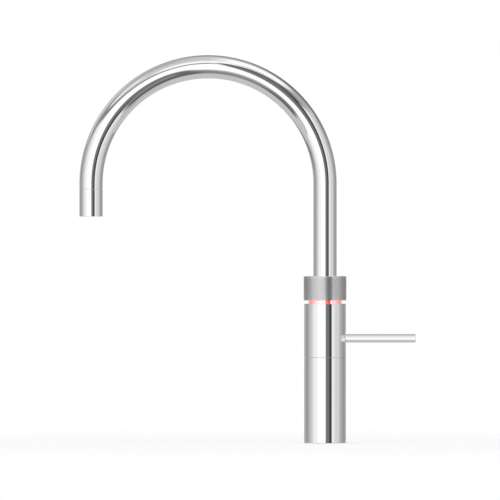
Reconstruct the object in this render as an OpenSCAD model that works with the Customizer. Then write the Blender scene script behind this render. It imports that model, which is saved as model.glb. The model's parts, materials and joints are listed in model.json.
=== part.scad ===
// Boiling water tap: a swan-neck spout on a slim round body, with a push-and-turn knurled ring
// for boiling water over a lit gap, and a rod lever for mixed water.
// Millimetres. Z = 0 is the worktop, +Z runs up the body's axis, the spout points to -X and the
// lever to +X.

/* [Body] */
// How far the body's side stands out from the spout's
body_step = 8.7; // [8:0.1:10]
// Height of the base sleeve above the worktop
base_h = 80.85; // [72:0.05:100]
// Open height of the seam between the base sleeve and the turning lever sleeve
seam_gap = 0.25; // [0.2:0.05:0.5]
// Break on the sleeves' edges at that seam
seam_edge = 0.1; // [0.05:0.05:0.3]
// Length of the body above the lever's axis
head_l = 32.8; // [29:0.1:40]
// Wall of the two outer sleeves
sleeve_wall = 2.2; // [2:0.1:2.4]
// Break on the sleeves' other outer edges
edge_break = 0.35; // [0.1:0.05:0.5]

/* [Knurled ring] */
// How far the knurl's points stand proud of the body
ring_proud = 0.5; // [0:0.1:1.5]
// Height of the ring
ring_h = 23; // [20.4:0.1:30]
// Lit gap between the body and the ring
ring_gap = 3.1; // [3:0.1:4.5]
// How far the lit wall in that gap stands back from the body's side
light_inset = 3.95; // [3.6:0.05:4.4]
// Diamonds round the ring
knurl_count = 54; // [40:2:72]
// Diamonds up the ring
knurl_rows = 6; // [4:1:7]
// Depth of the knurl
knurl_depth = 0.3; // [0.2:0.05:0.6]
// Plain rim above and below the knurl
ring_rim = 0.7; // [0.5:0.1:1.2]
// Chamfer of the ring's rims
ring_chamfer = 0.5; // [0.2:0.1:0.5]
// Thickness of the ring's top wall
ring_top_wall = 4.2; // [3.5:0.1:5]
// How far the ring presses down
ring_travel = 2.5; // [1.5:0.1:3]
// How far the ring turns to open, in degrees
ring_turn = 60; // [30:5:75]

/* [Spout] */
// Outside diameter of the spout tube
spout_d = 22; // [20:0.1:26]
// Wall of the spout tube
spout_wall = 1.4; // [1.2:0.1:1.6]
// Distance from the body's axis to the outlet's axis
spout_reach = 221.6; // [160:0.2:260]
// Straight length of the up leg, from its foot to the bend
spout_rise = 106.7; // [90:0.1:150]
// Straight length of the down leg, from the bend to the outlet's seam
spout_drop = 4.8; // [4:0.05:40]
// Open height of that seam
outlet_seam_gap = 0.3; // [0.2:0.05:0.4]
// Length of the outlet sleeve
outlet_l = 25.9; // [22.5:0.05:32]
// Outside diameter of the boiling water tube inside the spout
boiling_tube_d = 5; // [4.4:0.1:5.2]
// Wall of that tube
boiling_tube_wall = 0.8; // [0.5:0.1:1]

/* [Lever] */
// Diameter of the lever rod
lever_d = 8; // [7:0.1:8.4]
// Length of the rod outside the body
lever_l = 66; // [40:0.1:90]
// Height of the rod's axis above its sleeve's lower edge
lever_rise = 18; // [15.8:0.05:24]
// How far the lever lifts to open, in degrees
lever_lift = 15; // [8:1:16]
// How far the lever turns to each side for cold and hot, in degrees
lever_swing = 45; // [20:5:50]

/* [Connections] */
// Wall radius of the threaded hole for the fixing stud
stud_hole_r = 3.4; // [3:0.1:4]
// Depth of the fixing stud's hole
stud_hole_l = 20; // [14:1:26]
// Wall radius of the threaded water ports
port_r = 4.6; // [4:0.1:5]
// Depth of the water ports
port_l = 12; // [9:1:14]
// Bore radius of the socket for the light's lead
socket_bore_r = 1.8; // [1.2:0.1:2]
// Depth of that bore
socket_bore_l = 9; // [7:0.5:10]

/* [Clearances] */
// Radial gap between fixed pieces that slip together
slip = 0.1; // [0.05:0.01:0.12]
// Radial gap between pieces that turn or slide on each other
run = 0.1; // [0.06:0.01:0.12]
// Radial gap between pieces that move past without guiding each other
free = 0.25; // [0.2:0.01:0.3]

/* [Hidden] */
$fn = 96;
over = 1; // overshoot of a cut through a face

// radii of the spout and the body, from which the pieces inside take theirs
spout_r = spout_d / 2;
spout_in_r = spout_r - spout_wall;
body_r = spout_r + body_step;
sleeve_r = body_r - sleeve_wall;    // bore of both outer sleeves
core_r = sleeve_r - slip;           // valve body inside the base sleeve
glide_wall = 0.4;
bearing_r = sleeve_r - run - glide_wall; // what the glide rings sit on

// heights of the outside, from the worktop up
base_top = base_h;
sleeve_bottom = base_top + seam_gap;
lever_h = sleeve_bottom + lever_rise;
body_h = lever_h + head_l;
ring_foot = body_h + ring_gap;
ring_top = ring_foot + ring_h;

// valve body and its glide rings
core_rise = 7.05;    // how far it stands up into the lever sleeve
core_top = base_top + core_rise;
flange_step = 1;
flange_r = core_r + flange_step;
flange_h = 3;
glide_l = 5;
glide_inset = 0.3;   // how far the flange in the seam stands back from the sleeves' edges
glide_room = 0.5;
seal_r = 0.7;        // section of the base seal, half its width
seal_inset = 0.8;
seal_circle = core_r - seal_inset;

// ports under the base, and the passages above them
cold_at = 280;
hot_at = 40;
boiling_at = 160;
mixed_at = 200;
lead_at = 230;
port_edge = 1.8;     // metal between a port and the core's side
port_circle = core_r - port_r - port_edge;
riser_r = 2;
riser_wall = 0.6;
riser_seat = 4;      // how far a riser goes into its socket
riser_bore_r = riser_r - riser_wall;
riser_edge = 1.2;    // metal between a riser and the side it runs in
riser_circle = bearing_r - riser_r - riser_edge;
socket_r = 3;
socket_l = 12;
socket_edge = 1.9;
socket_circle = core_r - socket_r - socket_edge;
lead_r = 0.8;
check_r = 3.4;
check_l = 13;

// column over the mixing valve
column_gap = 1.6;    // between the column and the risers
column_r = riser_circle - riser_r - column_gap;
column_wall = 2.6;
column_bore_r = column_r - column_wall;
thread_step = 0.6;
thread_l = 8;
column_thread_r = column_r - thread_step;

// mixing valve
cartridge_r = column_thread_r - slip;
cartridge_l = 22;
cartridge_top = core_top - thread_l;
cartridge_foot = cartridge_top - cartridge_l;
cartridge_floor = 3;
inlet_r = 1.4;
inlet_edge = 2.5;    // from an inlet's axis to the cartridge's side, and to the spool's
inlet_circle = cartridge_r - inlet_edge;
inlet_seal_r = 0.4;
inlet_seal_circle = inlet_r + 0.5;
mixed_rise = 6;
mixed_z = cartridge_foot + mixed_rise;
window_rise = 12;
window_z = cartridge_foot + window_rise;
spool_r = inlet_circle - inlet_edge;
spool_bore_r = spool_r + run;
spool_rise = 9.5;
spool_foot = cartridge_foot + spool_rise;
spool_neck = 1.1;
spool_neck_r = spool_r - spool_neck;
spool_wall = 1.2;
spool_lap = 0.5;     // how far the spool's land laps the window when shut
spool_neck_z = window_z + inlet_r + spool_lap;
spool_cross_r = 1.2;
spool_cross_z = spool_neck_z + inlet_r;
spool_head_gap = 1.1;
spool_head_r = column_bore_r - spool_head_gap;
spool_head_h = 9.8;
spool_seal_r = 0.45;
spool_seal_groove_h = 1.2;
spool_seal_groove = 0.9;
spool_seal_circle = (spool_r - spool_seal_groove + spool_bore_r) / 2;
spool_seal_z = [
    spool_foot + spool_seal_groove_h, spool_neck_z + 2 * inlet_r + spool_seal_groove_h + 0.2
];

// lever mechanism
pivot_out = 3.4;     // from the column's side to the lever's pivot
pivot_x = column_r + pivot_out;
trunnion_r = 1.5;
trunnion_y = 5.4;
hub_r = 3;
hub_y = 3.4;
barrel_r = 3.6;
finger_r = 1.5;
ball_r = 2.4;
ball_x = 3.5;
finger_l = pivot_x - ball_x;
spool_travel = finger_l * sin(lever_lift);
rod_foot = sleeve_r - 2 * slip;
rod_spigot_r = 2.4;
rod_spigot_l = 4.6;
lever_r = lever_d / 2;
lever_reach = body_r + lever_l;
hole_r = lever_r + free;
// the rod's upper edge climbs this much at the sleeve's outer face
hole_rise = (body_r - pivot_x) * tan(lever_lift) + lever_r / cos(lever_lift) - lever_r;
yoke_gap = 0.8;
yoke_x = column_r + yoke_gap;
yoke_y = 7.5;
yoke_under = 7.5;
yoke_over = 8.4;
// the yoke's window clears the lifted rod out to the sleeve's bore
yoke_window_over = (sleeve_r - pivot_x) * tan(lever_lift) + lever_r / cos(lever_lift) + free;
yoke_screw_r = 1.1;
yoke_screw_deep = 1.3;
yoke_screw_skin = 0.5;
swing_room = 6;      // spare angle at each end of the lever's swing

// spout's seat on the post
post_gap = 0.6;      // between the post and the spout's bore
post_r = spout_in_r - post_gap;
post_collar_r = spout_r - slip;
post_shank_step = 1.5;
post_shank_r = post_r - post_shank_step;
post_collar_drop = 2;
post_collar_z = ring_foot - post_collar_drop;
post_collar_h = 5;
washer_h = 0.8;
spout_foot = post_collar_z + post_collar_h + washer_h;
post_l = 33.2;       // above the spout's foot
post_top = spout_foot + post_l;
post_foot_gap = 1.2;
post_foot = lever_h + spool_head_h / 2 + post_foot_gap;
mixed_holes = 4;
mixed_hole_edge = 1.9;
mixed_hole_circle = post_shank_r - mixed_hole_edge;
mixed_hole_r = 1.4;
ring_groove_h = 3.6;
ring_groove = 1.1;
post_groove_r = post_shank_r - ring_groove;
boiling_bore_r = 1.6;

// boiling valve
carrier_gap = 0.6;
carrier_wall = 1.4;
carrier_in_r = spout_r + carrier_gap;
carrier_out_r = carrier_in_r + carrier_wall;
disc_h = 2.5;
disc_in_r = post_r + 0.5;
disc_out_r = carrier_out_r;
disc_edge = 1.6;
disc_circle = disc_out_r - disc_edge;
disc_hole_r = 1.2;
block_l = 19.4;      // from the block's foot to the body's top edge
block_foot = body_h - block_l;
block_cross_rise = 2.8;
block_cross_z = block_foot + block_cross_rise;
disc_rise = 5.5;
disc_z = block_foot + disc_rise;
hub_rise = 8.5;
hub_top = disc_z + hub_rise;
block_hub_r = disc_in_r - 2 * slip;
boiling_way_at = 45; // the cross hole that leads boiling water in to the post
boiling_way_z = disc_z + 2 * disc_h + disc_hole_r;

// lit ring
light_flange_h = 0.5;
block_top = body_h - light_flange_h;
lip_h = 2.4;
lip_w = 1.4;
lip_r = sleeve_r - lip_w;
lip_room = 0.2;
light_r = body_r - light_inset;
light_gap = 0.3;
light_in_r = disc_out_r + light_gap;
diode_h = 0.4;
diode_w = 1.6;
diode_inset = 0.2;
diode_count = 8;
board_h = 1;
board_z = block_top - diode_h - board_h;
board_in_r = disc_out_r + 1.05;
lead_circle = disc_out_r + 1.5;

// ring drive
ring_r = body_r + ring_proud;
ring_valley_r = ring_r - knurl_depth;
ring_in_r = light_r + free;
ring_hole_r = spout_r + free;
carrier_room = 1.5;  // left over the carrier when the ring is pressed
carrier_top = ring_top - ring_top_wall - ring_travel - carrier_room;
carrier_flange_gap = 0.6;
carrier_flange_r = ring_in_r - carrier_flange_gap;
carrier_flange_h = 1.2;
carrier_key_h = 1.5;
carrier_key_a = 12;
key_slack = 0.5;     // spare angle at each side of a key
pin_r = 1.2;
pin_rise = 4.4;
pin_z = ring_foot + pin_rise;
pin_count = 3;
pin_tip_r = carrier_in_r + 0.3;
pin_root_r = (ring_in_r + ring_valley_r) / 2;
pin_first_at = 30;
flange_over_pin = 1.8;
carrier_flange_z = pin_z + pin_r + flange_over_pin;
spring_wire_r = 0.5;
spring_circle = (carrier_out_r + ring_in_r) / 2;
spring_turns = 4;
spring_low = carrier_flange_z + carrier_flange_h;
spring_high = ring_top - ring_top_wall;
spring_steps = 24;   // rings of points round one turn
spring_sides = 6;

// spout and its bearings
bend_r = spout_reach / 2;
bend_h = spout_foot + spout_rise;
boiling_r = boiling_tube_d / 2;
boiling_seat = 12;   // how far the boiling tube goes down into the post
seat_bore_r = boiling_r + run;
bush_l = 5;
bush_wall = 1.1;
bush_r = spout_in_r - run;
bush_low = 2.2;
bush_high = 4;
bush_z = [spout_foot + bush_low, post_top - bush_high - bush_l];
snap_rise = 8.7;
snap_z = spout_foot + snap_rise;
snap_h = 1;
snap_in_r = post_r - 0.5;
snap_out_r = spout_in_r + free;
snap_groove_r = snap_out_r + free;
snap_room = 0.3;
snap_gap = 60;       // open angle of the snap ring
o_ring_r = 0.78;
o_ring_rise = 12;
o_ring_pitch = 5;
o_ring_z = [spout_foot + o_ring_rise, spout_foot + o_ring_rise + o_ring_pitch];
o_ring_circle = spout_in_r - run - o_ring_r;
tube_seal_r = 0.6;
tube_seal_circle = boiling_r + tube_seal_r + slip;

// outlet
outlet_x = -spout_reach;
shoulder_z = bend_h - spout_drop;
outlet_top = shoulder_z - outlet_seam_gap;
outlet_h = outlet_top - outlet_l;
spigot_step = 0.7;
spigot_r = spout_in_r + spigot_step;
spigot_l = 8.5;
outlet_lip_h = 1.2;
outlet_lip_r = spout_in_r - 0.6;
outlet_break = 0.25;
nozzle_r = 3.1;
nozzle_bore_r = 1.7;
nozzle_l = 17;
nozzle_rise = 0.4;
nozzle_foot = outlet_h + nozzle_rise;
nozzle_seat = 6;
aerator_r = spout_in_r - slip;
aerator_foot = outlet_h + outlet_lip_h;
aerator_l = 10;
aerator_hub_r = nozzle_r + slip;
screen_h = 0.6;
// circles of jet holes in the aerator: [inset from its side, how many, hole radius]
jets = [[4.6, 12, 0.65], [2.2, 20, 0.65]];
// spacers on the boiling tube, one in each leg
spacer_up = 50;      // below the bend in the up leg
spacer_up_z = bend_h - spacer_up;
spacer_over_nozzle = 4.15;
spacer_down_z = nozzle_foot + nozzle_l + spacer_over_nozzle;
spacer_h = 3;
spacer_wall = 0.9;

chrome = [0.80, 0.81, 0.83];
brass = [0.78, 0.62, 0.28];
steel = [0.62, 0.63, 0.65];
rubber = [0.08, 0.08, 0.09];
plastic = [0.86, 0.86, 0.82];
ceramic = [0.93, 0.93, 0.90];
red_light = [1.0, 0.25, 0.22];

// A ring or tube standing on z, with its bore
module tube(z, h, outer, bore) {
    translate([0, 0, z]) difference() {
        cylinder(h = h, r = outer);
        translate([0, 0, -over]) cylinder(h = h + 2 * over, r = bore);
    }
}

// A solid bar standing on z, on a circle about the axis
module bar_at(angle, circle, z, h, r) {
    rotate([0, 0, angle]) translate([circle, 0, z]) cylinder(h = h, r = r);
}

// A level bar from one radius out to another
module spoke(angle, z, from, to, r) {
    rotate([0, 0, angle]) translate([from, 0, z]) rotate([0, 90, 0])
        cylinder(h = to - from, r = r);
}

// A round seal lying at height z
module o_ring(z, circle, r) {
    translate([0, 0, z]) rotate_extrude() translate([circle, 0]) circle(r = r, $fn = 32);
}

// ---- fixed body

module base_sleeve() {
    color(chrome) rotate_extrude() polygon([
        [flange_r + slip, 0], [body_r - edge_break, 0], [body_r, edge_break],
        [body_r, base_top - seam_edge], [body_r - seam_edge, base_top],
        [sleeve_r, base_top], [sleeve_r, flange_h], [flange_r + slip, flange_h]
    ]);
}

module base_seal() {
    color(rubber) tube(0, 2 * seal_r, seal_circle + seal_r, seal_circle - seal_r);
}

// A port's thread, and the passage from its top
module water_port(angle) {
    bar_at(angle, port_circle, -over, port_l + over, port_r);
}

module valve_body() {
    color(brass) difference() {
        union() {
            cylinder(h = flange_h, r = flange_r);
            cylinder(h = base_top, r = core_r);
            cylinder(h = core_top, r = bearing_r);
        }
        tube(-over, 2 * seal_r + slip + over, seal_circle + seal_r + slip,
             seal_circle - seal_r - slip);
        translate([0, 0, -over]) cylinder(h = stud_hole_l + over, r = stud_hole_r);
        for (angle = [cold_at, hot_at]) {
            water_port(angle);
            bar_at(angle, port_circle, port_l - over, check_l + 2 * over, check_r + slip);
            bar_at(angle, inlet_circle, port_l + check_l - 2 * over, cartridge_foot, inlet_r + slip);
        }
        water_port(boiling_at);
        bar_at(boiling_at, riser_circle, port_l - 2 * over, core_top, riser_bore_r);
        bar_at(boiling_at, riser_circle, core_top - riser_seat, riser_seat + over, riser_r + slip);
        bar_at(mixed_at, riser_circle, mixed_z - riser_bore_r, core_top, riser_bore_r);
        bar_at(mixed_at, riser_circle, core_top - riser_seat, riser_seat + over, riser_r + slip);
        spoke(mixed_at, mixed_z, cartridge_r - over, riser_circle, riser_bore_r);
        bar_at(lead_at, socket_circle, -over, socket_l + slip + over, socket_r + slip);
        bar_at(lead_at, lead_circle, socket_l, core_top, lead_r + slip);
        translate([0, 0, cartridge_foot]) cylinder(h = core_top, r = cartridge_r + slip);
    }
}

module light_socket() {
    color(rubber) rotate([0, 0, lead_at]) translate([socket_circle, 0, 0]) difference() {
        cylinder(h = socket_l, r = socket_r);
        translate([0, 0, -over]) cylinder(h = socket_bore_l + over, r = socket_bore_r);
    }
}

module light_lead() {
    color(rubber)
        bar_at(lead_at, lead_circle, socket_l, board_z - socket_l, lead_r);
}

module check_valves() {
    color(plastic) for (angle = [cold_at, hot_at])
        rotate([0, 0, angle]) translate([port_circle, 0, 0])
            tube(port_l, check_l, check_r, check_r / 2);
}

// ---- mixing valve

module inlet_seals() {
    color(rubber) for (angle = [cold_at, hot_at])
        rotate([0, 0, angle]) translate([inlet_circle, 0, 0])
            o_ring(cartridge_foot + inlet_seal_r, inlet_seal_circle, inlet_seal_r);
}

module mixer_cartridge() {
    seal_room = inlet_seal_circle + inlet_seal_r + slip;
    color(plastic) difference() {
        translate([0, 0, cartridge_foot]) cylinder(h = cartridge_l, r = cartridge_r);
        translate([0, 0, cartridge_foot + cartridge_floor])
            cylinder(h = cartridge_l, r = spool_bore_r);
        for (angle = [cold_at, hot_at]) {
            bar_at(angle, inlet_circle, cartridge_foot - over, window_z - cartridge_foot + over,
                   inlet_r);
            bar_at(angle, inlet_circle, cartridge_foot - over, 2 * inlet_seal_r + over, seal_room);
            spoke(angle, window_z, 0, inlet_circle, inlet_r);
        }
        spoke(mixed_at, mixed_z, 0, cartridge_r + over, riser_bore_r);
    }
}

module mixer_spool() {
    head_foot = lever_h - spool_head_h / 2;
    color(brass) difference() {
        union() {
            translate([0, 0, spool_foot]) cylinder(h = head_foot - spool_foot, r = spool_r);
            translate([0, 0, head_foot]) cylinder(h = spool_head_h, r = spool_head_r);
        }
        // the waist that lets water in, and the bore that leads it down
        tube(spool_neck_z, 2 * inlet_r, spool_r + over, spool_neck_r);
        translate([0, 0, spool_foot - over])
            cylinder(h = spool_cross_z + spool_cross_r + over - spool_foot,
                     r = spool_neck_r - spool_wall);
        spoke(0, spool_cross_z, -spool_r, spool_r, spool_cross_r);
        for (z = spool_seal_z)
            tube(z - spool_seal_groove_h / 2, spool_seal_groove_h, spool_r + over,
                 spool_r - spool_seal_groove);
        // the slot that takes the lever's ball
        translate([-ball_r, -ball_r - free, lever_h - ball_r - free])
            cube([spool_head_r + ball_r + over, 2 * (ball_r + free), 2 * (ball_r + free)]);
    }
}

module spool_seals() {
    color(rubber) for (z = spool_seal_z) o_ring(z, spool_seal_circle, spool_seal_r);
}

// ---- column, risers and glide rings

// The sector of a cylinder that the lever's swing sweeps, wide by a half-width y at radius at_r
module swing_sector(z, h, r, y, at_r) {
    half = lever_swing + asin(y / at_r) + swing_room;
    translate([0, 0, z]) rotate([0, 0, -half])
        rotate_extrude(angle = 2 * half) square([r, h]);
}

module column() {
    window_low = spool_travel + finger_r + free;
    color(brass) difference() {
        union() {
            translate([0, 0, cartridge_top])
                cylinder(h = block_foot - cartridge_top, r = column_thread_r);
            translate([0, 0, core_top]) cylinder(h = block_foot - core_top, r = column_r);
        }
        translate([0, 0, cartridge_foot]) cylinder(h = block_foot, r = column_bore_r);
        swing_sector(lever_h - window_low, window_low + finger_r + 2 * free, column_r + over,
                     finger_r + free, column_bore_r);
    }
}

module riser(angle) {
    rotate([0, 0, angle]) translate([riser_circle, 0, 0])
        tube(core_top - riser_seat, block_foot - core_top + 2 * riser_seat, riser_r, riser_bore_r);
}

module boiling_riser() {
    color(steel) riser(boiling_at);
}

module mixed_riser() {
    color(steel) riser(mixed_at);
}

module lower_glide_ring() {
    color(plastic) {
        tube(base_top, seam_gap, body_r - seam_edge - glide_inset, bearing_r);
        tube(base_top, seam_gap + glide_l, bearing_r + glide_wall, bearing_r);
    }
}

module upper_glide_ring() {
    color(plastic)
        tube(block_top - lip_h - glide_l - glide_room, glide_l, bearing_r + glide_wall, bearing_r);
}

// ---- lever

module lever_sleeve() {
    lip_top = block_top - slip;
    lip_foot = block_top - lip_h + lip_room;
    color(chrome) difference() {
        rotate_extrude() polygon([
            [sleeve_r, sleeve_bottom], [body_r - seam_edge, sleeve_bottom],
            [body_r, sleeve_bottom + seam_edge], [body_r, body_h - edge_break],
            [body_r - edge_break, body_h], [sleeve_r - slip, body_h], [sleeve_r - slip, lip_top],
            [lip_r, lip_top], [lip_r, lip_foot], [sleeve_r, lip_foot]
        ]);
        // the rod's hole, taller above where the rod climbs
        spoke(0, lever_h, pivot_x, body_r + over, hole_r);
        spoke(0, lever_h + hole_rise, pivot_x, body_r + over, hole_r);
        translate([pivot_x, -hole_r, lever_h]) cube([body_r, 2 * hole_r, hole_rise]);
        yoke_screw_set(slip, sleeve_r + yoke_screw_deep);
    }
}

// The two headless screws that hold the yoke in the sleeve
module yoke_screw_set(gap, to) {
    for (z = [lever_h + (yoke_window_over + yoke_over) / 2, lever_h - (hole_r + yoke_under) / 2])
        spoke(0, z, yoke_x + yoke_screw_skin, to, yoke_screw_r + gap);
}

module yoke_screws() {
    color(steel) yoke_screw_set(0, sleeve_r + yoke_screw_deep - slip);
}

module lever_yoke() {
    color(brass) difference() {
        intersection() {
            cylinder(h = body_h, r = sleeve_r - slip);
            translate([yoke_x, -yoke_y, lever_h - yoke_under])
                cube([body_r, 2 * yoke_y, yoke_under + yoke_over]);
        }
        translate([yoke_x - over, -hub_y - free, lever_h - hole_r])
            cube([body_r, 2 * (hub_y + free), hole_r + yoke_window_over]);
        translate([pivot_x + hub_r, -hole_r, lever_h - hole_r])
            cube([body_r, 2 * hole_r, hole_r + yoke_window_over]);
        translate([pivot_x, 0, lever_h]) rotate([90, 0, 0])
            cylinder(h = 2 * (trunnion_y + slip), r = trunnion_r + run, center = true);
        yoke_screw_set(slip, body_r);
    }
}

module lever_hub() {
    color(steel) difference() {
        union() {
            translate([pivot_x, 0, lever_h]) rotate([90, 0, 0]) {
                cylinder(h = 2 * hub_y, r = hub_r, center = true);
                cylinder(h = 2 * trunnion_y, r = trunnion_r, center = true);
            }
            intersection() {
                spoke(0, lever_h, pivot_x, rod_foot, barrel_r);
                translate([pivot_x, -hub_y, lever_h - barrel_r])
                    cube([rod_foot, 2 * hub_y, 2 * barrel_r]);
            }
            spoke(0, lever_h, ball_x, pivot_x, finger_r);
            translate([ball_x, 0, lever_h]) sphere(r = ball_r);
        }
        spoke(0, lever_h, rod_foot - rod_spigot_l - slip, body_r, rod_spigot_r + slip / 2);
    }
}

module lever_rod() {
    color(chrome) translate([0, 0, lever_h]) rotate([0, 90, 0]) rotate_extrude() polygon([
        [0, rod_foot - rod_spigot_l], [rod_spigot_r, rod_foot - rod_spigot_l],
        [rod_spigot_r, rod_foot], [lever_r, rod_foot], [lever_r, lever_reach - edge_break],
        [lever_r - edge_break, lever_reach], [0, lever_reach]
    ]);
}

// ---- head: boiling valve and lit ring

module top_block() {
    color(brass) difference() {
        union() {
            translate([0, 0, block_foot])
                cylinder(h = block_top - lip_h - block_foot, r = bearing_r);
            translate([0, 0, block_foot])
                cylinder(h = block_top - block_foot, r = lip_r - 2 * run);
        }
        translate([0, 0, block_foot - over]) cylinder(h = body_h, r = post_shank_r + slip);
        tube(disc_z, body_h, disc_out_r + 2 * slip, block_hub_r);
        translate([0, 0, hub_top]) cylinder(h = body_h, r = disc_out_r);
        tube(board_z, body_h, body_r, board_in_r - slip);
        for (angle = [boiling_at, mixed_at])
            bar_at(angle, riser_circle, block_foot - over, riser_seat + slip + over, riser_r + slip);
        spoke(boiling_at, block_cross_z, disc_circle, riser_circle, disc_hole_r);
        bar_at(boiling_at, disc_circle, block_cross_z, body_h, disc_hole_r);
        spoke(mixed_at, block_cross_z, 0, riser_circle, riser_bore_r);
        spoke(boiling_way_at, boiling_way_z, 0, disc_out_r, disc_hole_r);
        bar_at(lead_at, lead_circle, block_foot - over, body_h, lead_r + slip);
    }
}

// A flat valve disc with its water hole
module valve_disc(z, hole_at) {
    difference() {
        tube(z, disc_h, disc_out_r, disc_in_r);
        bar_at(hole_at, disc_circle, z - over, disc_h + 2 * over, disc_hole_r);
    }
}

module fixed_disc() {
    color(ceramic) valve_disc(disc_z, boiling_at);
}

// Sectors of the rim, shared by the moving disc's notches and the gaps between the carrier's keys
module rim_sectors(first, half, low, h) {
    for (angle = [first, first + 180])
        rotate([0, 0, angle - half]) rotate_extrude(angle = 2 * half)
            translate([carrier_in_r - over / 2, low]) square([carrier_wall + over, h]);
}

module moving_disc() {
    color(ceramic) difference() {
        valve_disc(disc_z + disc_h, boiling_at - ring_turn);
        rim_sectors(0, carrier_key_a + key_slack, disc_z + 2 * disc_h - carrier_key_h,
                    carrier_key_h + over);
    }
}

module light_board() {
    color("darkgreen") tube(board_z, board_h, light_r, board_in_r);
}

module light_diodes() {
    color(plastic) for (i = [0 : diode_count - 1])
        rotate([0, 0, 360 * i / diode_count])
            translate([board_in_r + diode_inset, -diode_w / 2, block_top - diode_h])
                cube([light_r - board_in_r - 2 * diode_inset, diode_w, diode_h]);
}

module light_ring() {
    color(red_light) union() {
        tube(block_top, light_flange_h, sleeve_r - 2 * slip, light_in_r);
        tube(block_top, light_flange_h + ring_gap, light_r, light_in_r);
    }
}

// ---- boiling water ring

module ring_carrier() {
    low = disc_z + 2 * disc_h;
    slot_w = 2 * (pin_r + run);
    slot_low = pin_z - ring_travel - slot_w / 2 - slip;
    color(steel) difference() {
        union() {
            tube(low - carrier_key_h, carrier_top - low + carrier_key_h, carrier_out_r,
                 carrier_in_r);
            tube(carrier_flange_z, carrier_flange_h, carrier_flange_r, carrier_in_r);
        }
        rim_sectors(90, 90 - carrier_key_a, low - carrier_key_h - over, carrier_key_h + over);
        // slots in which the drive pins slide down
        for (i = [0 : pin_count - 1]) {
            rotate([0, 0, pin_first_at + 360 * i / pin_count]) translate([0, -slot_w / 2, slot_low])
                cube([carrier_out_r + over, slot_w, pin_z + slot_w / 2 - slot_low]);
        }
    }
}

// A coiled wire: rings of points along the helix, joined in a skin with flat ends
module coil(circle, wire_r, low, high, turns, steps, sides) {
    count = turns * steps;
    pitch = (high - low - 2 * wire_r) / turns;
    points = [for (i = [0 : count], k = [0 : sides - 1])
        let (a = 360 * i / steps, b = 360 * k / sides, r = circle + wire_r * cos(b))
        [r * cos(a), r * sin(a), low + wire_r + pitch * i / steps + wire_r * sin(b)]];
    skin = [for (i = [0 : count - 1], k = [0 : sides - 1])
        let (p = i * sides + k, q = i * sides + (k + 1) % sides)
        each [[p, q, q + sides], [p, q + sides, p + sides]]];
    first = [[for (k = [0 : sides - 1]) sides - 1 - k]];
    last = [[for (k = [0 : sides - 1]) count * sides + k]];
    polyhedron(points = points, faces = concat(first, skin, last), convexity = 8);
    echo(coil_gap = pitch - 2 * wire_r);
}

module ring_spring() {
    color(steel)
        coil(spring_circle, spring_wire_r, spring_low, spring_high, spring_turns, spring_steps,
             spring_sides);
}

module drive_pins() {
    color(steel) for (i = [0 : pin_count - 1])
        spoke(pin_first_at + 360 * i / pin_count, pin_z, pin_tip_r, pin_root_r, pin_r);
}

// The knurl: points and grooves' crossings alternate round each row and from row to row, so that
// every diamond is a four-sided pyramid. The rims above and below it are chamfered.
module knurl(low, high) {
    around = 2 * knurl_count;
    rows = 2 * knurl_rows;
    function knurl_r(j, k) = (j + k) % 2 == 0 ? ring_r : ring_valley_r;
    edge_r = ring_valley_r - ring_chamfer;
    rims = [[low, edge_r], [low + ring_chamfer, ring_valley_r]];
    top_rims = [[high - ring_chamfer, ring_valley_r], [high, edge_r]];
    knurl_low = low + ring_rim;
    knurl_pitch = (high - low - 2 * ring_rim) / rows;
    rings = concat(
        [for (e = rims) [for (k = [0 : around - 1]) [e[1], 360 * k / around, e[0]]]],
        [for (j = [0 : rows]) [for (k = [0 : around - 1])
            [j == 0 || j == rows ? ring_valley_r : knurl_r(j, k), 360 * k / around,
             knurl_low + knurl_pitch * j]]],
        [for (e = top_rims) [for (k = [0 : around - 1]) [e[1], 360 * k / around, e[0]]]]);
    points = [for (ring = rings, p = ring) [p[0] * cos(p[1]), p[0] * sin(p[1]), p[2]]];
    last = len(rings) - 1;
    skin = [for (j = [0 : last - 1], k = [0 : around - 1])
        let (a = j * around + k, b = j * around + (k + 1) % around, c = b + around, d = a + around)
        each (j + k) % 2 == 0 ? [[a, d, b], [b, d, c]] : [[a, d, c], [a, c, b]]];
    polyhedron(points = points, faces = concat(
        [[for (k = [0 : around - 1]) k]], skin,
        [[for (k = [0 : around - 1]) last * around + around - 1 - k]]), convexity = 6);
}

module knurled_ring() {
    color(chrome) difference() {
        knurl(ring_foot, ring_top);
        translate([0, 0, ring_foot - over])
            cylinder(h = ring_h - ring_top_wall + over, r = ring_in_r);
        translate([0, 0, ring_foot - over]) cylinder(h = ring_h + 2 * over, r = ring_hole_r);
        for (i = [0 : pin_count - 1])
            spoke(pin_first_at + 360 * i / pin_count, pin_z, 0, pin_root_r, pin_r);
    }
}

// ---- post

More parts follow.
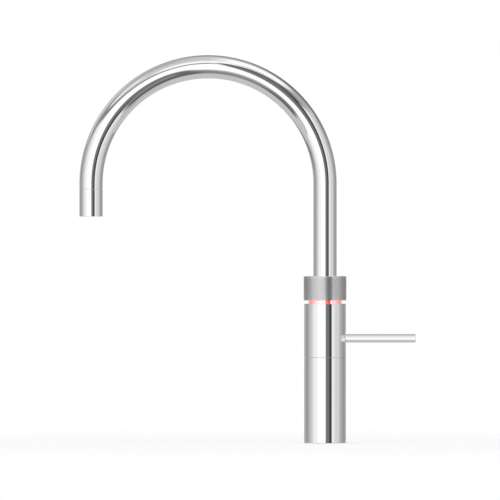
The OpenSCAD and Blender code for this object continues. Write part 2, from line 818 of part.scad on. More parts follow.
module post() {
    color(brass) difference() {
        union() {
            translate([0, 0, post_foot]) cylinder(h = hub_top - post_foot, r = post_shank_r);
            translate([0, 0, hub_top]) cylinder(h = post_top - hub_top, r = post_r);
            translate([0, 0, post_collar_z]) cylinder(h = post_collar_h, r = post_collar_r);
        }
        for (i = [0 : mixed_holes - 1]) {
            bar_at(360 * i / mixed_holes, mixed_hole_circle, block_cross_z - mixed_hole_r,
                   post_top, mixed_hole_r);
            spoke(360 * i / mixed_holes, block_cross_z, mixed_hole_circle, post_r, mixed_hole_r);
        }
        tube(block_cross_z - ring_groove_h / 2, ring_groove_h, post_r, post_groove_r);
        translate([0, 0, boiling_way_z - boiling_bore_r])
            cylinder(h = post_top, r = boiling_bore_r);
        spoke(boiling_way_at, boiling_way_z, 0, post_r, disc_hole_r);
        translate([0, 0, post_top - boiling_seat]) cylinder(h = post_top, r = seat_bore_r);
        translate([0, 0, post_top - 2 * tube_seal_r])
            cylinder(h = post_top, r = tube_seal_circle + tube_seal_r + slip);
        for (z = bush_z)
            tube(z - slip, bush_l + 2 * slip, post_r + over, bush_r - bush_wall - slip);
        for (z = o_ring_z)
            tube(z - o_ring_r - slip, 2 * (o_ring_r + slip), post_r + over,
                 o_ring_circle - o_ring_r - slip / 2);
        tube(snap_z - slip, snap_h + 2 * slip, post_r + over, snap_in_r - slip);
    }
}

module post_seals() {
    color(rubber) for (z = o_ring_z) o_ring(z, o_ring_circle, o_ring_r);
}

module tube_seal() {
    color(rubber) o_ring(post_top - tube_seal_r, tube_seal_circle, tube_seal_r);
}

module thrust_washer() {
    color(plastic) tube(spout_foot - washer_h, washer_h, post_collar_r, post_r + slip);
}

module swivel_bushes() {
    color(plastic) for (z = bush_z) tube(z, bush_l, bush_r, bush_r - bush_wall);
}

module spout_snap_ring() {
    color(steel) rotate([0, 0, snap_gap / 2]) translate([0, 0, snap_z])
        rotate_extrude(angle = 360 - snap_gap)
            translate([snap_in_r, 0]) square([snap_out_r - snap_in_r, snap_h]);
}

// ---- spout

// The swan neck's path swept with a round section, from the up leg's foot to the down leg's foot
module swan_neck(r, up_z, down_z) {
    translate([0, 0, up_z]) cylinder(h = bend_h - up_z, r = r);
    translate([-bend_r, 0, bend_h]) rotate([90, 0, 0])
        rotate_extrude(angle = 180) translate([bend_r, 0]) circle(r = r);
    translate([outlet_x, 0, down_z]) cylinder(h = bend_h - down_z, r = r);
}

module spout_tube() {
    color(chrome) difference() {
        union() {
            swan_neck(spout_r, spout_foot, shoulder_z);
            translate([outlet_x, 0, shoulder_z - spigot_l]) cylinder(h = spigot_l, r = spigot_r);
        }
        swan_neck(spout_in_r, spout_foot - over, shoulder_z - spigot_l - over);
        tube(snap_z - snap_room, snap_h + 2 * snap_room, snap_groove_r, snap_in_r);
    }
}

module boiling_tube() {
    color(steel) difference() {
        swan_neck(boiling_r, post_top - boiling_seat, nozzle_foot + nozzle_l - nozzle_seat);
        swan_neck(boiling_r - boiling_tube_wall, post_top - boiling_seat - over,
                  nozzle_foot + nozzle_l - nozzle_seat - over);
    }
}

// A three-armed spacer that keeps the boiling tube in the middle of the spout
module spacer() {
    arm = spout_in_r - free - boiling_r - slip;
    tube(0, spacer_h, boiling_r + slip + spacer_wall, boiling_r + slip);
    for (angle = [0, 120, 240])
        rotate([0, 0, angle]) translate([boiling_r + slip + spacer_wall / 2, -spacer_wall / 2, 0])
            cube([arm - spacer_wall / 2, spacer_wall, spacer_h]);
}

module tube_spacers() {
    color(plastic) {
        translate([0, 0, spacer_up_z]) spacer();
        translate([outlet_x, 0, spacer_down_z]) spacer();
    }
}

module outlet_sleeve() {
    shelf_z = shoulder_z - spigot_l - slip;
    color(chrome) translate([outlet_x, 0, 0]) rotate_extrude() polygon([
        [outlet_lip_r, outlet_h], [spout_r - outlet_break, outlet_h],
        [spout_r, outlet_h + outlet_break], [spout_r, outlet_top - outlet_break],
        [spout_r - outlet_break, outlet_top], [spigot_r + slip / 2, outlet_top],
        [spigot_r + slip / 2, shelf_z], [spout_in_r, shelf_z], [spout_in_r, aerator_foot],
        [outlet_lip_r, aerator_foot]
    ]);
}

module boiling_nozzle() {
    color(steel) translate([outlet_x, 0, nozzle_foot]) difference() {
        cylinder(h = nozzle_l, r = nozzle_r);
        translate([0, 0, -over]) cylinder(h = nozzle_l + 2 * over, r = nozzle_bore_r);
        translate([0, 0, nozzle_l - nozzle_seat])
            cylinder(h = nozzle_seat + over, r = boiling_r + slip / 2);
    }
}

// The ring of plastic or mesh that the mixed water runs through, with its circles of holes
module jet_plate(h) {
    difference() {
        tube(0, h, aerator_r, aerator_hub_r);
        for (jet = jets, i = [0 : jet[1] - 1])
            bar_at(360 * i / jet[1], aerator_r - jet[0], -over, h + 2 * over, jet[2]);
    }
}

module aerator() {
    color(plastic) translate([outlet_x, 0, aerator_foot]) jet_plate(aerator_l);
}

module aerator_screen() {
    color(steel) translate([outlet_x, 0, aerator_foot + aerator_l]) jet_plate(screen_h);
}

base_sleeve();
base_seal();
valve_body();
light_socket();
light_lead();
check_valves();
inlet_seals();
mixer_cartridge();
mixer_spool();
spool_seals();
column();
boiling_riser();
mixed_riser();
lower_glide_ring();
upper_glide_ring();
lever_sleeve();
lever_yoke();
yoke_screws();
lever_hub();
lever_rod();
top_block();
fixed_disc();
moving_disc();
ring_carrier();
ring_spring();
drive_pins();
knurled_ring();
light_board();
light_diodes();
light_ring();
post();
post_seals();
tube_seal();
thrust_washer();
swivel_bushes();
spout_snap_ring();
spout_tube();
boiling_tube();
tube_spacers();
outlet_sleeve();
boiling_nozzle();
aerator();
aerator_screen();
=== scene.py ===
"""Looks of the boiling water tap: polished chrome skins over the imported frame, in a white studio.

Metres, in the frame of the part: Z = 0 is the worktop, the spout points to -X, the lever to +X.
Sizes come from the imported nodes' boxes and the joints; those that neither gives are named in
millimetres.
"""

import json
import math

import bpy
import numpy as np
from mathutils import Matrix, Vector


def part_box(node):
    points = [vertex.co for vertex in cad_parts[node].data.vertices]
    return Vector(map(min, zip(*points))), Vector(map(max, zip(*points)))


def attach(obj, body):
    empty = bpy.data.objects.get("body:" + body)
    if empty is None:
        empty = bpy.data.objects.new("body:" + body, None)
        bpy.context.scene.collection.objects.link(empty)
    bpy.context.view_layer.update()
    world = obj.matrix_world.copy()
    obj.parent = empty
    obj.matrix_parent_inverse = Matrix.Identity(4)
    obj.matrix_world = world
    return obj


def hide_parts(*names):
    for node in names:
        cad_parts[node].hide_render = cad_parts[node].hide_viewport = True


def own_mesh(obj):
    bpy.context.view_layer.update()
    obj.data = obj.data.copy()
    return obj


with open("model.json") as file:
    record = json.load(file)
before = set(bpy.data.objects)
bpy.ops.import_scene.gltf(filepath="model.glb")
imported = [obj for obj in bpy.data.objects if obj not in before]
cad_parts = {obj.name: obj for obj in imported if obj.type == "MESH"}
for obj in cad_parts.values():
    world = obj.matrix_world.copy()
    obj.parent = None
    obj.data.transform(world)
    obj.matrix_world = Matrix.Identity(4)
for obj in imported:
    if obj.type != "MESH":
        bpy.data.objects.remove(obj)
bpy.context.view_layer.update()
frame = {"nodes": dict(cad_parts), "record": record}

MM = 0.001
TURN = 2 * math.pi
DEG = math.pi / 180
TINY = 1e-7             # metres or radians that count as nothing
WELD_PER_METRE = 1e8    # corners that round to the same step of this grid are one point


# ---- sizes read from the frame


def box_of(node):
    """Lowest and highest corner of a node at rest."""
    low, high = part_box(node)
    return np.array(low), np.array(high)


def joint(name):
    """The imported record's entry for a joint."""
    return next(j for j in frame["record"]["behaviour"]["joints"] if j["name"] == name)


base_high = box_of("base_sleeve")[1]
sleeve_low, sleeve_high = box_of("lever_sleeve")
light_low, light_high = box_of("light_ring")
ring_low, ring_high = box_of("knurled_ring")
spout_high = box_of("spout_tube")[1]
outlet_low, outlet_high = box_of("outlet_sleeve")
rod_low, rod_high = box_of("lever_rod")
snap_low, snap_high = box_of("spout_snap_ring")
aerator_low = box_of("aerator")[0]

BODY_R = base_high[0]
OUTLET_R = (outlet_high[0] - outlet_low[0]) / 2
OUTLET_X = (outlet_low[0] + outlet_high[0]) / 2
SPOUT_R = OUTLET_R
BEND_R = -OUTLET_X / 2
BEND_Z = spout_high[2] - BEND_R - SPOUT_R
ROD_R = rod_high[1]
ROD_Z = (rod_low[2] + rod_high[2]) / 2
PIVOT_X = joint("lever_lift")["pos_m"][0]
LEVER_LIFT = joint("lever_lift")["range_deg"][1] * DEG

# sizes that the frame doesn't give: play and broken edges
SLIP = 0.1 * MM         # room between pieces that nest
FREE = 0.25 * MM        # room round the lever and the snap ring
EDGE = 0.35 * MM
FINE_EDGE = 0.15 * MM
SEAM_EDGE = 0.1 * MM    # where the two casings meet

# the two casings
SLEEVE_WALL = 2.2 * MM
FLANGE_H = 3.0 * MM     # the recess at the base for the valve body's flange
FLANGE_OUT = 18.5 * MM
LIP_R = 16.1 * MM       # the lip inside the turning casing, and how far below the top its faces are
LIP_TOP = 0.6 * MM
LIP_LOW = 2.7 * MM
SLEEVE_R = BODY_R - SLEEVE_WALL

# the lever, and the tall hole that lets it lift
ROD_FOOT = 17.3 * MM    # where its full width begins, from the body's axis
ROD_SPIGOT_R = 2.4 * MM
HOLE_R = ROD_R + FREE
HOLE_RISE = (BODY_R - PIVOT_X) * math.tan(LEVER_LIFT) + ROD_R / math.cos(LEVER_LIFT) - ROD_R
HOLE_MIDDLE = ROD_Z + HOLE_RISE / 2

# the lit wall and the ring above it
LIGHT_R = 15.75 * MM
LIGHT_IN_R = 13.3 * MM
RING_IN_R = 16.0 * MM
RING_HOLE_R = 11.25 * MM
RING_TOP_WALL = 4.2 * MM
RING_CHAMFER = 0.5 * MM
RING_RIM = 0.7 * MM     # the plain band over and under the knurl

# the spout and its outlet
SPOUT_WALL = 1.4 * MM
SPIGOT_STEP = 0.7 * MM  # how much the spigot in the outlet sleeve is wider than the bore
SPIGOT_L = 8.5 * MM
GROOVE_ROOM = 0.3 * MM  # over and under the snap ring
LEG_LAP = 1.0 * MM      # how far the turned ends reach along the legs
OUTLET_SEAM = 0.3 * MM
OUTLET_LIP = 0.6 * MM   # the lip that holds the aerator
OUTLET_EDGE = 0.25 * MM
BORE_R = SPOUT_R - SPOUT_WALL

# the knurl; the shares are of a whole diamond, the drops are of the grooves' depth
KNURL_COUNT = 54
KNURL_ROWS = 6
KNURL_DEPTH = 0.3 * MM
KNURL_TURN = TURN / KNURL_COUNT / 4
LAND_SHARE = 0.74       # the flat top
BREAK_SHARE = 0.84      # the flat top and the broken edge round it
BREAK_DROP = 0.15       # the broken edge's foot
CUT_AND_SHADE_DROP = 0.12         # where the grooves' finish and their painted shade give way to the flats'
CUT_EDGE = 0.01 * MM    # how softly one finish gives way to another

# the spring
WIRE_R = 0.5 * MM
SPRING_TURNS = 4

# how finely the skins are divided
ROUND_SIDES = 256
TUBE_SIDES = 144
BEND_RINGS = 160
ARC_STEPS = 5           # of a rounded corner
COIL_STEPS = 48         # of one turn of the spring
WIRE_SIDES = 16

# the window of the turning casing's wall, whose own grid runs round the lever's hole
WINDOW_COLUMNS = 16     # to each side of the lever
WINDOW_ROWS = 20
WINDOW_RINGS = 6        # from the hole to the window's edge
CROWDING = 1.3          # above 1, these rings lie closer together near the hole
COLUMN_TURN = TURN / ROUND_SIDES
WINDOW_LOW = HOLE_MIDDLE - HOLE_RISE / 2 - 2 * HOLE_R
WINDOW_HIGH = HOLE_MIDDLE + HOLE_RISE / 2 + 2 * HOLE_R
WINDOW_HEIGHTS = list(np.linspace(WINDOW_LOW, WINDOW_HIGH, WINDOW_ROWS + 1))

# finishes
POLISHED = (0.93, 0.935, 0.935)
FLAT_COLOUR, FLAT_ROUGHNESS = (0.98, 0.985, 0.985), 0.28
# the grooves' near-black colour is painted shade; their roughness is the cut finish
GROOVE_SHADE_COLOUR, CUT_ROUGHNESS = (0.06, 0.06, 0.06), 0.5


def put_in_scene(name, data):
    """A new object in the scene, for a mesh or a camera."""
    thing = bpy.data.objects.new(name, data)
    bpy.context.scene.collection.objects.link(thing)
    return thing


# ---- skins: closed meshes made of patches that carry their own exact normals


class Skin:
    """Patches of quads welded into one closed mesh. Each patch keeps its own normals, so that
    a polished face mirrors without facets and an edge between two patches stays crisp."""

    def __init__(self):
        self.points, self.places, self.faces, self.normals = [], {}, [], []

    def vertex(self, point):
        """The point's number, which is the same for points that fall together."""
        key = tuple(int(round(c * WELD_PER_METRE)) for c in point)
        if key not in self.places:
            self.places[key] = len(self.points)
            self.points.append(tuple(point))
        return self.places[key]

    def face(self, corners):
        """One face from its (point, normal) corners, wound so that it faces outward."""
        ids, kept = [], []
        for point, normal in corners:
            i = self.vertex(point)
            if i not in ids:
                ids.append(i)
                kept.append(normal)
        if len(ids) > 2:
            self.faces.append(ids)
            self.normals.extend(kept)

    def patch(self, grid, normals):
        """Grid of points [row][column], wound so that rows x columns faces outward."""
        for i in range(len(grid) - 1):
            for j in range(len(grid[i]) - 1):
                spots = ((i, j), (i, j + 1), (i + 1, j + 1), (i + 1, j))
                self.face([(grid[a][b], normals[a][b]) for a, b in spots])

    def make(self, name, material):
        """The finished object."""
        mesh = bpy.data.meshes.new(name)
        mesh.from_pydata(self.points, [], self.faces)
        mesh.polygons.foreach_set("use_smooth", [True] * len(mesh.polygons))
        mesh.normals_split_custom_set([tuple(n) for n in self.normals])
        mesh.update()
        mesh.materials.append(material)
        return put_in_scene(name, mesh)


def rounded(corners, closed=True):
    """Runs of (point, normal) along an outline of (a, b, radius) corners, walked with the metal
    on the left. Straight runs and corner arcs come out one by one."""
    count = len(corners)
    at = [np.array(corner[:2], float) for corner in corners]
    ends, arcs = [], []
    for i in range(count):
        before, here, after = at[i - 1], at[i], at[(i + 1) % count]
        radius = corners[i][2]
        way_in = (here - before) / np.linalg.norm(here - before)
        way_out = (after - here) / np.linalg.norm(after - here)
        turn = math.atan2(way_in[0] * way_out[1] - way_in[1] * way_out[0], way_in @ way_out)
        cut = abs(radius * math.tan(turn / 2))
        start, stop = here - way_in * cut, here + way_out * cut
        normal_in = np.array([way_in[1], -way_in[0]])
        normal_out = np.array([way_out[1], -way_out[0]])
        arc = []
        if radius > 0 and abs(turn) > TINY:
            side = math.copysign(1, turn)
            centre = start - normal_in * radius * side
            for k in range(ARC_STEPS + 1):
                c, s = math.cos(turn * k / ARC_STEPS), math.sin(turn * k / ARC_STEPS)
                normal = np.array([normal_in[0] * c - normal_in[1] * s,
                                   normal_in[0] * s + normal_in[1] * c])
                arc.append((centre + normal * radius * side, normal))
        ends.append((start, stop, normal_out))
        arcs.append(arc)
    runs = []
    for i in range(count):
        j = (i + 1) % count
        if closed or j:
            _, leave, normal = ends[i]
            runs.append([(leave, normal), (ends[j][0], normal)])
        if arcs[j] and (closed or 0 < j < count - 1):
            runs.append(arcs[j])
    return [run for run in runs if np.linalg.norm(run[0][0] - run[-1][0]) > TINY]


def revolve(skin, runs, centre=(0, 0, 0), axis="z", sides=ROUND_SIDES, first=0.0):
    """Adds the faces that runs of (radius, height) points sweep round an upright axis (z) or a
    level one (x) through the centre, starting at the first angle."""
    centre = np.array(centre, float)
    for run in runs:
        grid, normals = [], []
        for (radius, height), (nr, nh) in run:
            row, nrow = [], []
            for k in range(sides + 1):
                a = first + TURN * (k % sides) / sides
                c, s = math.cos(a), math.sin(a)
                if axis == "z":
                    row.append(centre + (radius * c, radius * s, height))
                    nrow.append((nr * c, nr * s, nh))
                else:
                    row.append(centre + (height, radius * c, radius * s))
                    nrow.append((nh, nr * c, nr * s))
            grid.append(row)
            normals.append(nrow)
        skin.patch(grid, normals)


# ---- materials


def insides(mat):
    """A material's node tree and its shader."""
    return mat.node_tree, mat.node_tree.nodes["Principled BSDF"]


def material(name, colour, metallic=0.0, roughness=0.4):
    """A new Principled material, its node tree and its shader."""
    mat = bpy.data.materials.new(name)
    mat.use_nodes = True
    tree, shader = insides(mat)
    shader.inputs["Base Color"].default_value = (*colour, 1)
    shader.inputs["Metallic"].default_value = metallic
    shader.inputs["Roughness"].default_value = roughness
    mat.diffuse_color = (*colour, 1)
    return mat, tree, shader


def own_place(tree):
    """Where a point is, in the part's own metres."""
    return tree.nodes.new("ShaderNodeTexCoord").outputs["Object"]


def noise(tree, scale, detail, stretch=(1, 1, 1)):
    """A noise texture in the part's own metres; a low stretch draws it out along that axis."""
    mapping = tree.nodes.new("ShaderNodeMapping")
    mapping.inputs["Scale"].default_value = stretch
    texture = tree.nodes.new("ShaderNodeTexNoise")
    texture.inputs["Scale"].default_value = scale
    texture.inputs["Detail"].default_value = detail
    tree.links.new(own_place(tree), mapping.inputs["Vector"])
    tree.links.new(mapping.outputs["Vector"], texture.inputs["Vector"])
    return texture.outputs["Fac"]


def spread(tree, value, low, high, start=0.3, end=0.7):
    """Maps the values from start to end, a texture's middle ones by default, to low up to high."""
    node = tree.nodes.new("ShaderNodeMapRange")
    node.inputs["From Min"].default_value = start
    node.inputs["From Max"].default_value = end
    node.inputs["To Min"].default_value = low
    node.inputs["To Max"].default_value = high
    tree.links.new(value, node.inputs["Value"])
    return node.outputs["Result"]


def fill(tree, socket, value):
    """Sets a socket to a number, or links it to another node's output."""
    if isinstance(value, (int, float)):
        socket.default_value = value
    else:
        tree.links.new(value, socket)


def calc(tree, operation, *values):
    """The result of a Math node on numbers or other nodes' outputs."""
    node = tree.nodes.new("ShaderNodeMath")
    node.operation = operation
    for socket, value in zip(node.inputs, values):
        fill(tree, socket, value)
    return node.outputs[0]


def mix(tree, low, high, share):
    """A value that goes from low to high as the share goes from 0 to 1."""
    node = tree.nodes.new("ShaderNodeMix")
    for socket, value in zip(node.inputs, (share, None, low, high)):
        if value is not None:
            fill(tree, socket, value)
    return node.outputs[0]


def length_of(tree, vector):
    """How long a vector is."""
    node = tree.nodes.new("ShaderNodeVectorMath")
    node.operation = "LENGTH"
    tree.links.new(vector, node.inputs[0])
    return node.outputs["Value"]


def within(tree, value, low, high, edge):
    """1 between two bounds and 0 outside them, with soft edges of this width."""
    off = calc(tree, "ABSOLUTE", calc(tree, "SUBTRACT", value, (low + high) / 2))
    half = (high - low) / 2
    return spread(tree, off, 1, 0, half - edge / 2, half + edge / 2)


def blend_colours(tree, value, dark, light):
    """A colour that goes from dark to light as the value goes from 0 to 1."""
    node = tree.nodes.new("ShaderNodeMix")
    node.data_type = "RGBA"
    colour_in = [s for s in node.inputs if s.type == "RGBA"]
    colour_in[0].default_value = (*dark, 1)
    colour_in[1].default_value = (*light, 1)
    tree.links.new(value, node.inputs["Factor"])
    return [s for s in node.outputs if s.type == "RGBA"][0]


def bump(tree, shader, height, strength, distance):
    """Raises the shader's surface by a height, up to this distance."""
    node = tree.nodes.new("ShaderNodeBump")
    node.inputs["Strength"].default_value = strength
    node.inputs["Distance"].default_value = distance
    tree.links.new(height, node.inputs["Height"])
    tree.links.new(node.outputs["Normal"], shader.inputs["Normal"])


def chrome_material(name, colour=POLISHED):
    """Mirror chrome over polished brass: faint wipe marks and a barely wavy plating."""
    mat, tree, shader = material(name, colour, metallic=1.0, roughness=0.03)
    wipes = noise(tree, scale=35, detail=4, stretch=(1, 1, 0.35))
    tree.links.new(spread(tree, wipes, low=0.018, high=0.05), shader.inputs["Roughness"])
    bump(tree, shader, noise(tree, scale=160, detail=1), strength=0.05, distance=0.02 * MM)
    return mat


def knurl_material():
    """Chrome that is satin on the knurl's flats, left as cut in the grooves between them, and
    polished on the ring's top. The grooves' colour is painted near black: painted shade. The
    distance from the ring's axis tells one from another."""
    mat = chrome_material("knurl_chrome")
    tree, shader = insides(mat)
    level = tree.nodes.new("ShaderNodeVectorMath")
    level.operation = "MULTIPLY"
    level.inputs[1].default_value = (1, 1, 0)
    tree.links.new(own_place(tree), level.inputs[0])
    radius = length_of(tree, level.outputs["Vector"])
    groove_r = ring_high[0] - KNURL_DEPTH
    cut_and_shade_r = ring_high[0] - CUT_AND_SHADE_DROP * KNURL_DEPTH
    on_knurl = spread(tree, radius, 0, 1, groove_r - CUT_EDGE, groove_r)
    # the grooves: their cut finish, and the painted shade that turns their colour near black
    cut = within(tree, radius, groove_r + CUT_EDGE, cut_and_shade_r, CUT_EDGE)
    tree.links.new(blend_colours(tree, cut, FLAT_COLOUR, GROOVE_SHADE_COLOUR), shader.inputs["Base Color"])
    polished = shader.inputs["Roughness"].links[0].from_socket
    worked = mix(tree, FLAT_ROUGHNESS, CUT_ROUGHNESS, cut)
    tree.links.new(mix(tree, polished, worked, on_knurl), shader.inputs["Roughness"])
    return mat


def machined_metal(name, dark, light, roughness, lines=900):
    """Turned metal: fine tool marks round the axis and a slightly uneven tone."""
    mat, tree, shader = material(name, light, metallic=1.0, roughness=roughness)
    tone = noise(tree, scale=120, detail=4)
    tree.links.new(blend_colours(tree, tone, dark, light), shader.inputs["Base Color"])
    marks = noise(tree, scale=lines, detail=2, stretch=(0.05, 0.05, 1))
    tree.links.new(spread(tree, marks, low=roughness - 0.06, high=roughness + 0.1),
                   shader.inputs["Roughness"])
    bump(tree, shader, marks, strength=0.15, distance=0.04 * MM)
    return mat


def moulded(name, dark, light, roughness, grain=1500, depth=0.03 * MM):
    """Moulded plastic or rubber with a fine matt grain."""
    mat, tree, shader = material(name, light, roughness=roughness)
    tone = noise(tree, scale=90, detail=3)
    tree.links.new(blend_colours(tree, tone, dark, light), shader.inputs["Base Color"])
    surface = noise(tree, scale=grain, detail=2)
    tree.links.new(spread(tree, surface, low=roughness - 0.08, high=roughness + 0.08),
                   shader.inputs["Roughness"])
    bump(tree, shader, surface, strength=0.3, distance=depth)
    return mat


def lit_material():
    """The polished wall in the gap, washed in red light."""
    mat = chrome_material("lit_wall", (0.93, 0.93, 0.93))
    tree, shader = insides(mat)
    glow = noise(tree, scale=220, detail=1)
    tree.links.new(blend_colours(tree, glow, dark=(0.80, 0.012, 0.010), light=(1.0, 0.018, 0.014)),
                   shader.inputs["Emission Color"])
    shader.inputs["Emission Strength"].default_value = 0.85
    return mat


def diode_material():
    """The clear red plastic of a diode that is on."""
    mat = moulded("diode_red", (0.75, 0.10, 0.08), (0.9, 0.16, 0.12), 0.3)
    _, shader = insides(mat)
    shader.inputs["Emission Color"].default_value = (1.0, 0.05, 0.04, 1)
    shader.inputs["Emission Strength"].default_value = 3.0
    return mat


def board_material():
    """Green circuit board with paler tracks."""
    mat, tree, shader = material("board_green", (0.02, 0.16, 0.07), roughness=0.35)
    cells = tree.nodes.new("ShaderNodeTexVoronoi")
    cells.feature = "DISTANCE_TO_EDGE"
    cells.inputs["Scale"].default_value = 900
    tree.links.new(own_place(tree), cells.inputs["Vector"])
    board = spread(tree, cells.outputs["Distance"], 0, 1, start=0.02, end=0.06)
    track_green, board_green = (0.05, 0.30, 0.12), (0.015, 0.13, 0.05)
    tree.links.new(blend_colours(tree, board, track_green, board_green),
                   shader.inputs["Base Color"])
    return mat


def screen_material():
    """Fine woven steel mesh, painted dark between and beside its wires: painted shade."""
    mat, tree, shader = material("screen_steel", (0.55, 0.56, 0.57), metallic=1, roughness=0.35)
    place = own_place(tree)
    heights = []
    for direction in ("X", "Y"):
        wave = tree.nodes.new("ShaderNodeTexWave")
        wave.bands_direction = direction
        wave.inputs["Scale"].default_value = 400
        tree.links.new(place, wave.inputs["Vector"])
        heights.append(wave.outputs["Fac"])
    weave_and_shade = calc(tree, "MAXIMUM", *heights)
    # painted shade: near black in the openings and along the wires' sides
    tree.links.new(blend_colours(tree, weave_and_shade, dark=(0.08, 0.08, 0.08), light=(0.6, 0.61, 0.62)),
                   shader.inputs["Base Color"])
    bump(tree, shader, weave_and_shade, strength=0.6, distance=0.2 * MM)
    return mat


CHROME = chrome_material("chrome")
KNURL = knurl_material()
BRASS = machined_metal("brass", (0.62, 0.44, 0.17), (0.80, 0.60, 0.28), 0.24)
STEEL = machined_metal("steel", (0.46, 0.47, 0.48), (0.66, 0.67, 0.68), 0.28)
RUBBER = moulded("rubber", (0.012, 0.012, 0.013), (0.03, 0.03, 0.032), 0.6)
PLASTIC = moulded("plastic", (0.70, 0.70, 0.66), (0.82, 0.82, 0.78), 0.38)
CERAMIC = moulded("disc_ceramic", (0.82, 0.81, 0.77), (0.92, 0.91, 0.88), 0.15,
                  grain=2500, depth=0.01 * MM)
LIT = lit_material()
DIODES = diode_material()
BOARD = board_material()
SCREEN = screen_material()


# ---- visible pieces


def base_casing():
    """The fixed lower sleeve, open below over the worktop seal."""
    top = base_high[2]
    skin = Skin()
    revolve(skin, rounded([
        (FLANGE_OUT, 0, FINE_EDGE), (BODY_R, 0, EDGE), (BODY_R, top, SEAM_EDGE),
        (SLEEVE_R, top, FINE_EDGE), (SLEEVE_R, FLANGE_H, FINE_EDGE),
        (FLANGE_OUT, FLANGE_H, FINE_EDGE)]))
    return skin.make("base_casing", CHROME)


def hole_spots(edge):
    """For each (angle, z) of the window's edge, the nearest point of the hole's upright spine and
    the way out from it."""
    half = HOLE_RISE / 2
    found = []
    for angle, z in edge:
        spine = HOLE_MIDDLE + min(max(z - HOLE_MIDDLE, -half), half)
        way = np.array([BODY_R * angle, z - spine])
        found.append((spine, way / np.linalg.norm(way)))
    return found


def on_wall(radius, y, z):
    """The point and the normal of a round wall at this y and z."""
    a = math.asin(y / radius)
    return (radius * math.cos(a), y, z), (math.cos(a), math.sin(a), 0)


def wall_round_window(skin, radius, out, low, high):
    """A round wall but for its window, on grid lines that meet the window's edge."""
    heights = [low, *WINDOW_HEIGHTS, high]
    angles = [COLUMN_TURN * (k % ROUND_SIDES) for k in range(ROUND_SIDES + 1)]
    grid, normals = [], []
    for z in heights:
        grid.append([(radius * math.cos(a), radius * math.sin(a), z) for a in angles])
        normals.append([(out * math.cos(a), out * math.sin(a), 0) for a in angles])
    for i in range(len(heights) - 1):
        for j in range(ROUND_SIDES):
            from_lever = min(j, ROUND_SIDES - 1 - j)
            if 0 < i < len(heights) - 2 and from_lever < WINDOW_COLUMNS:
                continue    # this is the window
            spots = [(i, j), (i, j + 1), (i + 1, j + 1), (i + 1, j)]
            if out < 0:
                spots.reverse()
            skin.face([(grid[a][b], normals[a][b]) for a, b in spots])


def window_edge():
    """(angle, z) once round the window's edge, at the corners of the wall's grid."""
    columns = WINDOW_COLUMNS
    edge = [(-columns + k, WINDOW_LOW) for k in range(2 * columns)]
    edge += [(columns, z) for z in WINDOW_HEIGHTS[:-1]]
    edge += [(columns - k, WINDOW_HIGH) for k in range(2 * columns)]
    edge += [(-columns, z) for z in WINDOW_HEIGHTS[:0:-1]]
    edge.append(edge[0])
    return [(k * COLUMN_TURN, z) for k, z in edge]


def fill_window(skin, edge, hole, radius, out, offset):
    """Rings of faces from the hole's outline, at an offset from its spine, to the window's edge."""
    grid, normals = [], []
    for ring in range(WINDOW_RINGS + 1):
        t = (ring / WINDOW_RINGS) ** CROWDING
        row, nrow = [], []
        for (angle, z), (spine, way) in zip(edge, hole):
            y0, z0 = way[0] * offset, spine + way[1] * offset
            a = (1 - t) * math.asin(y0 / radius) + t * angle
            row.append((radius * math.cos(a), radius * math.sin(a), (1 - t) * z0 + t * z))
            nrow.append((out * math.cos(a), out * math.sin(a), 0))
        grid.append(row)
        normals.append(nrow)
    if out > 0:
        skin.patch([row[::-1] for row in grid], [row[::-1] for row in normals])
    else:
        skin.patch(grid, normals)


def hole_wall(skin, hole):
    """The broken edge of the lever's hole, then its wall down to the bore."""
    grid, normals = [], []
    for k in range(ARC_STEPS + 1):
        a = math.pi / 2 * k / ARC_STEPS
        offset = HOLE_R + EDGE * (1 - math.sin(a))
        depth = EDGE * (1 - math.cos(a))
        row, nrow = [], []
        for spine, way in hole:
            p, n = on_wall(BODY_R, way[0] * offset, spine + way[1] * offset)
            row.append((p[0] - depth * n[0], p[1], p[2]))
            nrow.append(np.array(n) * math.cos(a) - np.array([0, *way]) * math.sin(a))
        grid.append(row)
        normals.append(nrow)
    skin.patch(grid, normals)
    outside = grid[-1]
    inside = [on_wall(SLEEVE_R, way[0] * HOLE_R, spine + way[1] * HOLE_R)[0] for spine, way in hole]
    into = [(0, -way[0], -way[1]) for _, way in hole]
    skin.patch([outside, inside], [into, into])


def lever_casing():
    """The turning sleeve. Its wall has the tall round-ended hole of the rod, with a broken edge,
    inside a window of the wall whose grid runs round the hole."""
    low, high = sleeve_low[2], sleeve_high[2]
    bore = SLEEVE_R
    runs = rounded([
        (bore, low, FINE_EDGE), (BODY_R, low, SEAM_EDGE), (BODY_R, high, EDGE),
        (bore - SLIP, high, FINE_EDGE), (bore - SLIP, high - LIP_TOP, 0),
        (LIP_R, high - LIP_TOP, 0), (LIP_R, high - LIP_LOW, 0), (bore, high - LIP_LOW, 0)])

    def upright(radius):
        """The outline's straight run at this radius."""
        return next(run for run in runs
                    if len(run) == 2 and all(abs(point[0] - radius) < TINY for point, _ in run))

    outer, inner = upright(BODY_R), upright(bore)
    skin = Skin()
    revolve(skin, [run for run in runs if run is not outer and run is not inner])
    wall_round_window(skin, BODY_R, 1, outer[0][0][1], outer[1][0][1])
    wall_round_window(skin, bore, -1, inner[1][0][1], inner[0][0][1])
    edge = window_edge()
    hole = hole_spots(edge)
    fill_window(skin, edge, hole, BODY_R, 1, HOLE_R + EDGE)
    fill_window(skin, edge, hole, bore, -1, HOLE_R)
    hole_wall(skin, hole)
    return skin.make("lever_casing", CHROME)


def lever_bar():
    """The plain round lever with its broken tip edge and the spigot that screws into the hub."""
    skin = Skin()
    revolve(skin, rounded([
        (0, rod_low[0], 0), (ROD_SPIGOT_R, rod_low[0], FINE_EDGE), (ROD_SPIGOT_R, ROD_FOOT, 0),
        (ROD_R, ROD_FOOT, FINE_EDGE), (ROD_R, rod_high[0], EDGE), (0, rod_high[0], 0)],
        closed=False), centre=(0, 0, ROD_Z), axis="x", sides=TUBE_SIDES)
    return skin.make("lever_bar", CHROME)


